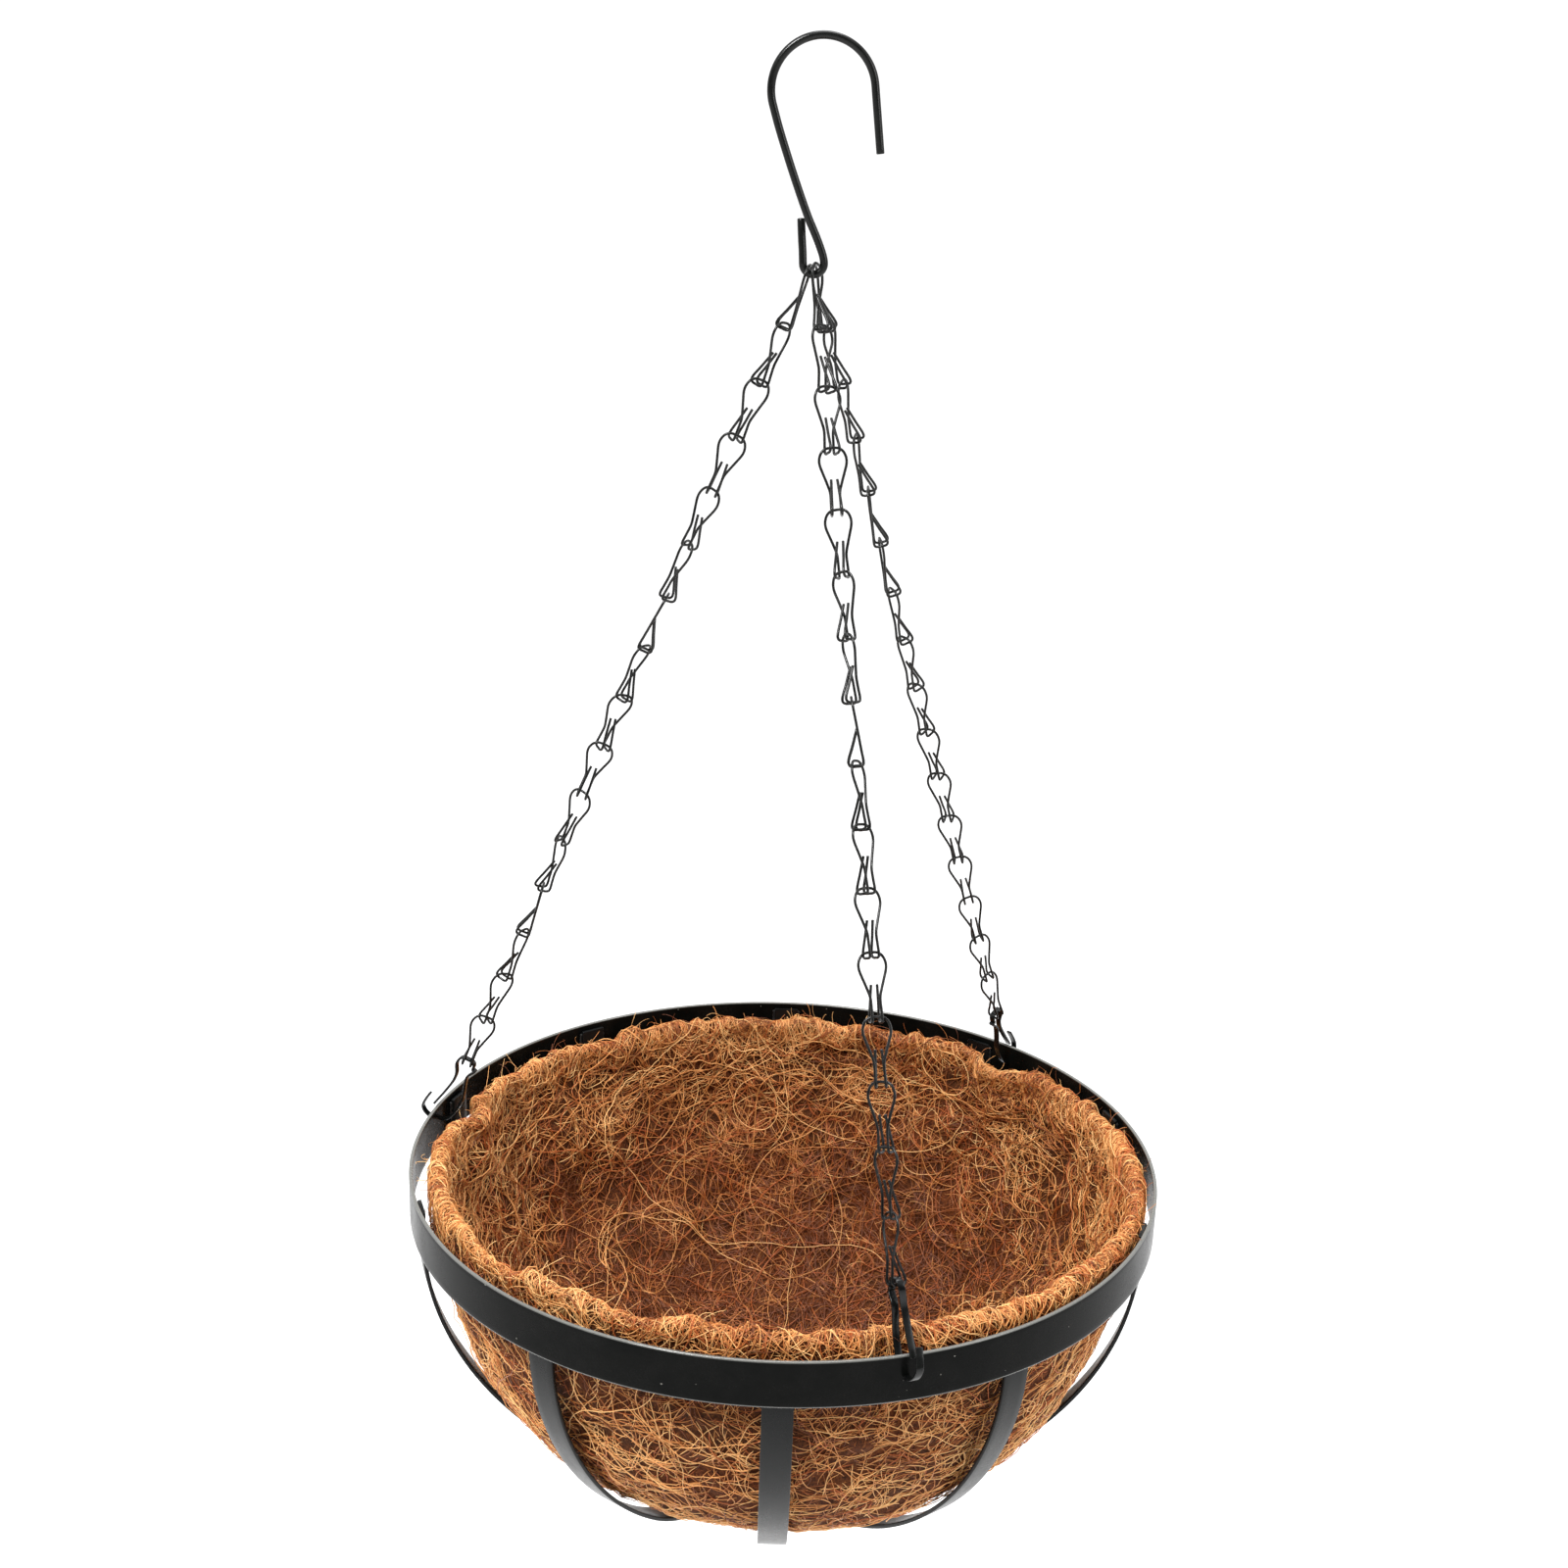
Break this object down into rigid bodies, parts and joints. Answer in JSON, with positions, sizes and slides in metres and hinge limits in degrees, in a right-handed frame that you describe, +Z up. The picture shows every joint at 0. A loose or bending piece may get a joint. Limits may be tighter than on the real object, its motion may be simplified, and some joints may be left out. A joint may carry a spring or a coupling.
{
  "type": "hanging basket",
  "caption": "Wire-chain hanging planter basket: S-hook, twisted-link chains, black flat-bar rim and crossing ribs around a moulded coconut-fibre bowl.",
  "frame": {"origin": "inside of the S-hook's crown, where the bar or bracket that carries the basket bears; the rim's centre is straight below it", "axes": "+Z up, -Y towards the front rib, X in the plane of the S-hook"},
  "size_m": [0.3035, 0.3002, 0.577],
  "materials": {
    "hook_wire": "satin black coating",
    "chain_wire": "semi-gloss black coating",
    "clip_strip": "semi-gloss black coating",
    "rim_steel": "satin black coating, paler at the edges",
    "rib_steel": "satin dark grey-black coating",
    "coir": "rough felted coconut fibre"
  },
  "bodies": {
    "s_hook": {"s_hook": "hook_wire"},
    "basket": {"rim_band": "rim_steel", "rib_strip_1": "rib_steel", "rib_strip_2": "rib_steel", "rib_strip_3": "rib_steel", "rib_strip_4": "rib_steel", "rib_strip_5": "rib_steel"},
    "liner": {"coir_liner": "coir"},
    "front_link_01": {"front_chain_link_01": "chain_wire"},
    "front_link_02": {"front_chain_link_02": "chain_wire"},
    "front_link_03": {"front_chain_link_03": "chain_wire"},
    "front_link_04": {"front_chain_link_04": "chain_wire"},
    "front_link_05": {"front_chain_link_05": "chain_wire"},
    "front_link_06": {"front_chain_link_06": "chain_wire"},
    "front_link_07": {"front_chain_link_07": "chain_wire"},
    "front_link_08": {"front_chain_link_08": "chain_wire"},
    "front_link_09": {"front_chain_link_09": "chain_wire"},
    "front_link_10": {"front_chain_link_10": "chain_wire"},
    "front_link_11": {"front_chain_link_11": "chain_wire"},
    "front_link_12": {"front_chain_link_12": "chain_wire"},
    "front_link_13": {"front_chain_link_13": "chain_wire"},
    "front_link_14": {"front_chain_link_14": "chain_wire"},
    "front_link_15": {"front_chain_link_15": "chain_wire"},
    "front_link_16": {"front_chain_link_16": "chain_wire"},
    "front_clip": {"front_rim_clip": "clip_strip"},
    "right_link_01": {"right_chain_link_01": "chain_wire"},
    "right_link_02": {"right_chain_link_02": "chain_wire"},
    "right_link_03": {"right_chain_link_03": "chain_wire"},
    "right_link_04": {"right_chain_link_04": "chain_wire"},
    "right_link_05": {"right_chain_link_05": "chain_wire"},
    "right_link_06": {"right_chain_link_06": "chain_wire"},
    "right_link_07": {"right_chain_link_07": "chain_wire"},
    "right_link_08": {"right_chain_link_08": "chain_wire"},
    "right_link_09": {"right_chain_link_09": "chain_wire"},
    "right_link_10": {"right_chain_link_10": "chain_wire"},
    "right_link_11": {"right_chain_link_11": "chain_wire"},
    "right_link_12": {"right_chain_link_12": "chain_wire"},
    "right_link_13": {"right_chain_link_13": "chain_wire"},
    "right_link_14": {"right_chain_link_14": "chain_wire"},
    "right_link_15": {"right_chain_link_15": "chain_wire"},
    "right_link_16": {"right_chain_link_16": "chain_wire"},
    "right_clip": {"right_rim_clip": "clip_strip"},
    "left_link_01": {"left_chain_link_01": "chain_wire"},
    "left_link_02": {"left_chain_link_02": "chain_wire"},
    "left_link_03": {"left_chain_link_03": "chain_wire"},
    "left_link_04": {"left_chain_link_04": "chain_wire"},
    "left_link_05": {"left_chain_link_05": "chain_wire"},
    "left_link_06": {"left_chain_link_06": "chain_wire"},
    "left_link_07": {"left_chain_link_07": "chain_wire"},
    "left_link_08": {"left_chain_link_08": "chain_wire"},
    "left_link_09": {"left_chain_link_09": "chain_wire"},
    "left_link_10": {"left_chain_link_10": "chain_wire"},
    "left_link_11": {"left_chain_link_11": "chain_wire"},
    "left_link_12": {"left_chain_link_12": "chain_wire"},
    "left_link_13": {"left_chain_link_13": "chain_wire"},
    "left_link_14": {"left_chain_link_14": "chain_wire"},
    "left_link_15": {"left_chain_link_15": "chain_wire"},
    "left_link_16": {"left_chain_link_16": "chain_wire"},
    "left_clip": {"left_rim_clip": "clip_strip"}
  },
  "joints": [
    {"name": "basket_swing", "type": "hinge", "parent": "s_hook", "child": "basket", "pos_m": [0, 0, -0.07835], "axis": [1, 0, 0], "range_deg": [-20, 20]},
    {"name": "liner_lift", "type": "slide", "parent": "basket", "child": "liner", "axis": [0, 0, 1], "range_m": [0, 0.006]},
    {"name": "front_chain_slack", "type": "hinge", "parent": "basket", "child": "front_link_01", "pos_m": [0.00156, 0.00103, -0.07479], "axis": [-0.3784, -0.8728, 0.3082], "range_deg": [-2.4, 5]},
    {"name": "front_link_02_turn", "type": "hinge", "parent": "front_link_01", "child": "front_link_02", "pos_m": [0.0039, -0.00721, -0.09527], "axis": [-0.7289, -0.6598, 0.1825], "range_deg": [-3.99, 3.99]},
    {"name": "front_link_03_turn", "type": "hinge", "parent": "front_link_02", "child": "front_link_03", "pos_m": [0.00623, -0.01546, -0.11575], "axis": [-0.9267, -0.3732, 0.0446], "range_deg": [-1.81, 1.81]},
    {"name": "front_link_04_turn", "type": "hinge", "parent": "front_link_03", "child": "front_link_04", "pos_m": [0.00856, -0.0237, -0.13623], "axis": [-0.9943, -0.0544, -0.0915], "range_deg": [-2.79, 2.79]},
    {"name": "front_link_05_turn", "type": "hinge", "parent": "front_link_04", "child": "front_link_05", "pos_m": [0.0109, -0.03194, -0.15671], "axis": [-0.9287, 0.2951, -0.2247], "range_deg": [-2.65, 2.65]},
    {"name": "front_link_06_turn", "type": "hinge", "parent": "front_link_05", "child": "front_link_06", "pos_m": [0.01324, -0.04019, -0.17719], "axis": [-0.7134, 0.6181, -0.3301], "range_deg": [-3, 3]},
    {"name": "front_link_07_turn", "type": "hinge", "parent": "front_link_06", "child": "front_link_07", "pos_m": [0.01557, -0.04843, -0.19767], "axis": [-0.362, 0.8497, -0.3833], "range_deg": [-1.67, 1.67]},
    {"name": "front_link_08_turn", "type": "hinge", "parent": "front_link_07", "child": "front_link_08", "pos_m": [0.01791, -0.05667, -0.21815], "axis": [0.0606, 0.9283, -0.3668], "range_deg": [-4.66, 4.66]},
    {"name": "front_link_09_turn", "type": "hinge", "parent": "front_link_08", "child": "front_link_09", "pos_m": [0.02024, -0.06492, -0.23863], "axis": [0.4585, 0.8413, -0.2863], "range_deg": [-2.3, 2.3]},
    {"name": "front_link_10_turn", "type": "hinge", "parent": "front_link_09", "child": "front_link_10", "pos_m": [0.02258, -0.07316, -0.25911], "axis": [0.7289, 0.6598, -0.1825], "range_deg": [-4.64, 4.64]},
    {"name": "front_link_11_turn", "type": "hinge", "parent": "front_link_10", "child": "front_link_11", "pos_m": [0.02491, -0.0814, -0.27959], "axis": [0.9014, 0.4274, -0.0692], "range_deg": [-3.01, 3.01]},
    {"name": "front_link_12_turn", "type": "hinge", "parent": "front_link_11", "child": "front_link_12", "pos_m": [0.02725, -0.08965, -0.30007], "axis": [0.9814, 0.1883, 0.0361], "range_deg": [-3.21, 3.21]},
    {"name": "front_link_13_turn", "type": "hinge", "parent": "front_link_12", "child": "front_link_13", "pos_m": [0.02958, -0.09789, -0.32055], "axis": [0.9911, -0.0366, 0.1277], "range_deg": [-1.86, 1.86]},
    {"name": "front_link_14_turn", "type": "hinge", "parent": "front_link_13", "child": "front_link_14", "pos_m": [0.03192, -0.10613, -0.34103], "axis": [0.9225, -0.3101, 0.23], "range_deg": [-3.64, 3.64]},
    {"name": "front_link_15_turn", "type": "hinge", "parent": "front_link_14", "child": "front_link_15", "pos_m": [0.03425, -0.11438, -0.36151], "axis": [0.7499, -0.5796, 0.3188], "range_deg": [-0.99, 0.99]},
    {"name": "front_link_16_turn", "type": "hinge", "parent": "front_link_15", "child": "front_link_16", "pos_m": [0.03659, -0.12262, -0.38199], "axis": [0.4641, -0.8021, 0.3758], "range_deg": [-1.81, 1.81]},
    {"name": "front_clip_turn", "type": "hinge", "parent": "front_link_16", "child": "front_clip", "pos_m": [0.03892, -0.13086, -0.40247], "axis": [0.2639, -0.884, 0.3859], "range_deg": [-1.81, 1.81]},
    {"name": "right_chain_slack", "type": "hinge", "parent": "basket", "child": "right_link_01", "pos_m": [0.00016, 0.00012, -0.07567], "axis": [-0.1452, -0.9346, -0.3247], "range_deg": [-2.2, 2.2]},
    {"name": "right_link_02_turn", "type": "hinge", "parent": "right_link_01", "child": "right_link_02", "pos_m": [0.00604, 0.00632, -0.09616], "axis": [-0.3997, -0.8392, -0.3688], "range_deg": [-2.66, 2.66]},
    {"name": "right_link_03_turn", "type": "hinge", "parent": "right_link_02", "child": "right_link_03", "pos_m": [0.01193, 0.01252, -0.11665], "axis": [-0.35, -0.8639, -0.3621], "range_deg": [-0.94, 0.94]},
    {"name": "right_link_04_turn", "type": "hinge", "parent": "right_link_03", "child": "right_link_04", "pos_m": [0.01781, 0.01873, -0.13713], "axis": [-0.1797, -0.926, -0.332], "range_deg": [-0.425, 0.425]},
    {"name": "right_link_05_turn", "type": "hinge", "parent": "right_link_04", "child": "right_link_05", "pos_m": [0.02369, 0.02493, -0.15762], "axis": [-0.0247, -0.9548, -0.2962], "range_deg": [-3.08, 3.08]},
    {"name": "right_link_06_turn", "type": "hinge", "parent": "right_link_05", "child": "right_link_06", "pos_m": [0.02958, 0.03113, -0.17811], "axis": [0.1601, -0.9566, -0.2436], "range_deg": [-3.11, 3.11]},
    {"name": "right_link_07_turn", "type": "hinge", "parent": "right_link_06", "child": "right_link_07", "pos_m": [0.03546, 0.03734, -0.1986], "axis": [0.3934, -0.9051, -0.161], "range_deg": [-1.21, 1.21]},
    {"name": "right_link_08_turn", "type": "hinge", "parent": "right_link_07", "child": "right_link_08", "pos_m": [0.04134, 0.04354, -0.21909], "axis": [0.5957, -0.8, -0.0711], "range_deg": [-1.73, 1.73]},
    {"name": "right_link_09_turn", "type": "hinge", "parent": "right_link_08", "child": "right_link_09", "pos_m": [0.04723, 0.04974, -0.23957], "axis": [0.7504, -0.6608, 0.0154], "range_deg": [-0.87, 0.87]},
    {"name": "right_link_10_turn", "type": "hinge", "parent": "right_link_09", "child": "right_link_10", "pos_m": [0.05311, 0.05594, -0.26006], "axis": [0.8672, -0.4874, 0.1015], "range_deg": [-1.07, 1.07]},
    {"name": "right_link_11_turn", "type": "hinge", "parent": "right_link_10", "child": "right_link_11", "pos_m": [0.05899, 0.06214, -0.28055], "axis": [0.9289, -0.3306, 0.1667], "range_deg": [-0.97, 0.97]},
    {"name": "right_link_12_turn", "type": "hinge", "parent": "right_link_11", "child": "right_link_12", "pos_m": [0.06488, 0.06835, -0.30104], "axis": [0.9607, -0.1587, 0.2278], "range_deg": [-1.79, 1.79]},
    {"name": "right_link_13_turn", "type": "hinge", "parent": "right_link_12", "child": "right_link_13", "pos_m": [0.07076, 0.07455, -0.32153], "axis": [0.9619, -0.01, 0.2732], "range_deg": [-0.495, 0.495]},
    {"name": "right_link_14_turn", "type": "hinge", "parent": "right_link_13", "child": "right_link_14", "pos_m": [0.07664, 0.08075, -0.34201], "axis": [0.9305, 0.1769, 0.3208], "range_deg": [-2.53, 2.53]},
    {"name": "right_link_15_turn", "type": "hinge", "parent": "right_link_14", "child": "right_link_15", "pos_m": [0.08253, 0.08696, -0.3625], "axis": [0.8445, 0.3947, 0.362], "range_deg": [-1.77, 1.77]},
    {"name": "right_link_16_turn", "type": "hinge", "parent": "right_link_15", "child": "right_link_16", "pos_m": [0.08841, 0.09316, -0.38299], "axis": [0.6946, 0.6085, 0.3837], "range_deg": [-2.16, 2.16]},
    {"name": "right_clip_turn", "type": "hinge", "parent": "right_link_16", "child": "right_clip", "pos_m": [0.09429, 0.09936, -0.40348], "axis": [0.6353, 0.6694, 0.3851], "range_deg": [-2.49, 2.49]},
    {"name": "left_chain_slack", "type": "hinge", "parent": "basket", "child": "left_link_01", "pos_m": [-0.00119, 0, -0.07511], "axis": [0.1679, 0.9854, 0.0284], "range_deg": [-3.3, 3.3]},
    {"name": "left_link_02_turn", "type": "hinge", "parent": "left_link_01", "child": "left_link_02", "pos_m": [-0.00944, 0.002, -0.09562], "axis": [0.564, 0.8124, -0.1478], "range_deg": [-2.98, 2.98]},
    {"name": "left_link_03_turn", "type": "hinge", "parent": "left_link_02", "child": "left_link_03", "pos_m": [-0.01769, 0.004, -0.11613], "axis": [0.8473, 0.4396, -0.2981], "range_deg": [-2.96, 2.96]},
    {"name": "left_link_04_turn", "type": "hinge", "parent": "left_link_03", "child": "left_link_04", "pos_m": [-0.02595, 0.00599, -0.13665], "axis": [0.9225, -0.0761, -0.3785], "range_deg": [-1.39, 1.39]},
    {"name": "left_link_05_turn", "type": "hinge", "parent": "left_link_04", "child": "left_link_05", "pos_m": [-0.0342, 0.00799, -0.15716], "axis": [0.735, -0.5795, -0.3521], "range_deg": [-0.81, 0.81]},
    {"name": "left_link_06_turn", "type": "hinge", "parent": "left_link_05", "child": "left_link_06", "pos_m": [-0.04245, 0.00999, -0.17767], "axis": [0.3586, -0.9041, -0.2323], "range_deg": [-2.04, 2.04]},
    {"name": "left_link_07_turn", "type": "hinge", "parent": "left_link_06", "child": "left_link_07", "pos_m": [-0.0507, 0.01199, -0.19818], "axis": [-0.0787, -0.9948, -0.0652], "range_deg": [-1.1, 1.1]},
    {"name": "left_link_08_turn", "type": "hinge", "parent": "left_link_07", "child": "left_link_08", "pos_m": [-0.05896, 0.01398, -0.2187], "axis": [-0.4886, -0.8652, 0.1123], "range_deg": [-1.29, 1.29]},
    {"name": "left_link_09_turn", "type": "hinge", "parent": "left_link_08", "child": "left_link_09", "pos_m": [-0.06721, 0.01598, -0.23921], "axis": [-0.8024, -0.5316, 0.2711], "range_deg": [-1.48, 1.48]},
    {"name": "left_link_10_turn", "type": "hinge", "parent": "left_link_09", "child": "left_link_10", "pos_m": [-0.07546, 0.01798, -0.25972], "axis": [-0.9283, -0.036, 0.37], "range_deg": [-4.66, 4.66]},
    {"name": "left_link_11_turn", "type": "hinge", "parent": "left_link_10", "child": "left_link_11", "pos_m": [-0.08371, 0.01998, -0.28023], "axis": [-0.7935, 0.4859, 0.3665], "range_deg": [-2.11, 2.11]},
    {"name": "left_link_12_turn", "type": "hinge", "parent": "left_link_11", "child": "left_link_12", "pos_m": [-0.09197, 0.02197, -0.30074], "axis": [-0.431, 0.8648, 0.2576], "range_deg": [-2.07, 2.07]},
    {"name": "left_link_13_turn", "type": "hinge", "parent": "left_link_12", "child": "left_link_13", "pos_m": [-0.10022, 0.02397, -0.32126], "axis": [0.0185, 0.9958, 0.0895], "range_deg": [-1.64, 1.64]},
    {"name": "left_link_14_turn", "type": "hinge", "parent": "left_link_13", "child": "left_link_14", "pos_m": [-0.10847, 0.02597, -0.34177], "axis": [0.4361, 0.8956, -0.0882], "range_deg": [-3.62, 3.62]},
    {"name": "left_link_15_turn", "type": "hinge", "parent": "left_link_14", "child": "left_link_15", "pos_m": [-0.11672, 0.02797, -0.36228], "axis": [0.7769, 0.575, -0.2566], "range_deg": [-1.33, 1.33]},
    {"name": "left_link_16_turn", "type": "hinge", "parent": "left_link_15", "child": "left_link_16", "pos_m": [-0.12498, 0.02996, -0.38279], "axis": [0.9277, 0.0732, -0.3661], "range_deg": [-0.61, 0.61]},
    {"name": "left_clip_turn", "type": "hinge", "parent": "left_link_16", "child": "left_clip", "pos_m": [-0.13323, 0.03196, -0.4033], "axis": [-0.8985, 0.2154, 0.3825], "range_deg": [-2.24, 2.24]}
  ],
  "couplings": [
    {"joint": "front_link_02_turn", "follows": "front_chain_slack", "ratio": -0.70822},
    {"joint": "front_link_03_turn", "follows": "front_chain_slack", "ratio": -0.32},
    {"joint": "front_link_04_turn", "follows": "front_chain_slack", "ratio": 0.49358},
    {"joint": "front_link_05_turn", "follows": "front_chain_slack", "ratio": -0.46832},
    {"joint": "front_link_06_turn", "follows": "front_chain_slack", "ratio": 0.53172},
    {"joint": "front_link_07_turn", "follows": "front_chain_slack", "ratio": -0.29435},
    {"joint": "front_link_08_turn", "follows": "front_chain_slack", "ratio": 0.82749},
    {"joint": "front_link_09_turn", "follows": "front_chain_slack", "ratio": 0.40586},
    {"joint": "front_link_10_turn", "follows": "front_chain_slack", "ratio": -0.82359},
    {"joint": "front_link_11_turn", "follows": "front_chain_slack", "ratio": 0.53318},
    {"joint": "front_link_12_turn", "follows": "front_chain_slack", "ratio": -0.56872},
    {"joint": "front_link_13_turn", "follows": "front_chain_slack", "ratio": -0.32749},
    {"joint": "front_link_14_turn", "follows": "front_chain_slack", "ratio": 0.64449},
    {"joint": "front_link_15_turn", "follows": "front_chain_slack", "ratio": 0.17346},
    {"joint": "front_link_16_turn", "follows": "front_chain_slack", "ratio": -0.31982},
    {"joint": "front_clip_turn", "follows": "front_chain_slack", "ratio": 0.31958},
    {"joint": "right_link_02_turn", "follows": "right_chain_slack", "ratio": 1.1756},
    {"joint": "right_link_03_turn", "follows": "right_chain_slack", "ratio": -0.41069},
    {"joint": "right_link_04_turn", "follows": "right_chain_slack", "ratio": -0.18062},
    {"joint": "right_link_05_turn", "follows": "right_chain_slack", "ratio": -1.3651},
    {"joint": "right_link_06_turn", "follows": "right_chain_slack", "ratio": -1.3778},
    {"joint": "right_link_07_turn", "follows": "right_chain_slack", "ratio": -0.53054},
    {"joint": "right_link_08_turn", "follows": "right_chain_slack", "ratio": 0.75994},
    {"joint": "right_link_09_turn", "follows": "right_chain_slack", "ratio": 0.37762},
    {"joint": "right_link_10_turn", "follows": "right_chain_slack", "ratio": 0.46872},
    {"joint": "right_link_11_turn", "follows": "right_chain_slack", "ratio": 0.42141},
    {"joint": "right_link_12_turn", "follows": "right_chain_slack", "ratio": 0.79059},
    {"joint": "right_link_13_turn", "follows": "right_chain_slack", "ratio": 0.21172},
    {"joint": "right_link_14_turn", "follows": "right_chain_slack", "ratio": -1.1186},
    {"joint": "right_link_15_turn", "follows": "right_chain_slack", "ratio": -0.7793},
    {"joint": "right_link_16_turn", "follows": "right_chain_slack", "ratio": -0.95483},
    {"joint": "right_clip_turn", "follows": "right_chain_slack", "ratio": 1.101},
    {"joint": "left_link_02_turn", "follows": "left_chain_slack", "ratio": -0.88089},
    {"joint": "left_link_03_turn", "follows": "left_chain_slack", "ratio": -0.87248},
    {"joint": "left_link_04_turn", "follows": "left_chain_slack", "ratio": 0.40714},
    {"joint": "left_link_05_turn", "follows": "left_chain_slack", "ratio": 0.23317},
    {"joint": "left_link_06_turn", "follows": "left_chain_slack", "ratio": -0.60131},
    {"joint": "left_link_07_turn", "follows": "left_chain_slack", "ratio": 0.31971},
    {"joint": "left_link_08_turn", "follows": "left_chain_slack", "ratio": 0.37612},
    {"joint": "left_link_09_turn", "follows": "left_chain_slack", "ratio": -0.43262},
    {"joint": "left_link_10_turn", "follows": "left_chain_slack", "ratio": -1.3783},
    {"joint": "left_link_11_turn", "follows": "left_chain_slack", "ratio": -0.62011},
    {"joint": "left_link_12_turn", "follows": "left_chain_slack", "ratio": 0.60828},
    {"joint": "left_link_13_turn", "follows": "left_chain_slack", "ratio": 0.48143},
    {"joint": "left_link_14_turn", "follows": "left_chain_slack", "ratio": -1.0685},
    {"joint": "left_link_15_turn", "follows": "left_chain_slack", "ratio": 0.38885},
    {"joint": "left_link_16_turn", "follows": "left_chain_slack", "ratio": -0.17567},
    {"joint": "left_clip_turn", "follows": "left_chain_slack", "ratio": 0.6597}
  ]
}
